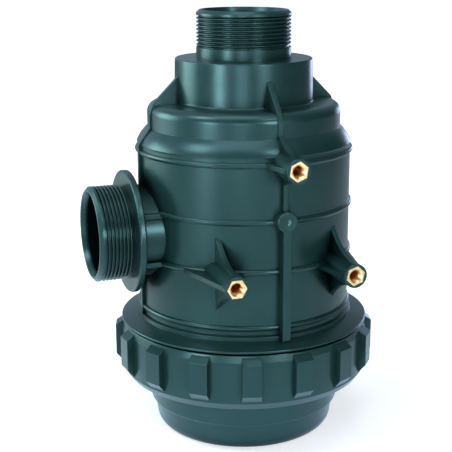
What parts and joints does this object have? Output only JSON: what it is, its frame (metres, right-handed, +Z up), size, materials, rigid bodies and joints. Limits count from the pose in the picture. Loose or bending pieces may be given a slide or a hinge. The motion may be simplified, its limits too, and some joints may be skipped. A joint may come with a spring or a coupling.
{
  "type": "suction filter",
  "caption": "In-line suction filter: moulded housing with a threaded outlet on top and a threaded inlet at the side, brass mounting inserts, ring nut, bowl and mesh cartridge.",
  "frame": {"origin": "middle of the bowl's underside, on the axis of the housing", "axes": "+Z up through the outlet port, -X out of the inlet port, -Y towards the mounting bosses' faces"},
  "size_m": [0.187, 0.1751, 0.2716],
  "materials": {
    "polypropylene": "satin, glass-filled",
    "brass": "turned",
    "seal": "matt",
    "cage_plastic": "satin",
    "mesh_steel": "woven"
  },
  "bodies": {
    "housing": {"housing": "polypropylene", "insert_upper": "brass", "insert_lower_left": "brass", "insert_lower_right": "brass"},
    "bowl": {"bowl": "polypropylene", "bowl_o_ring": "seal", "cartridge_bottom_seal": "seal", "cartridge_bottom_cap": "cage_plastic", "cartridge_cage": "cage_plastic", "cartridge_mesh": "mesh_steel", "cartridge_top_cap": "cage_plastic", "cartridge_top_seal": "seal"},
    "ring_nut": {"ring_nut": "polypropylene"}
  },
  "joints": [
    {"name": "bowl_lower", "type": "slide", "parent": "housing", "child": "bowl", "axis": [0, 0, -1], "range_m": [0, 0.015]},
    {"name": "ring_nut_turn", "type": "hinge", "parent": "bowl", "child": "ring_nut", "pos_m": [0, 0, 0.055], "axis": [0, 0, -1], "range_deg": [0, 1080]}
  ],
  "couplings": [
    {"joint": "bowl_lower", "follows": "ring_nut_turn", "m_per_rad": 0.00079577}
  ]
}
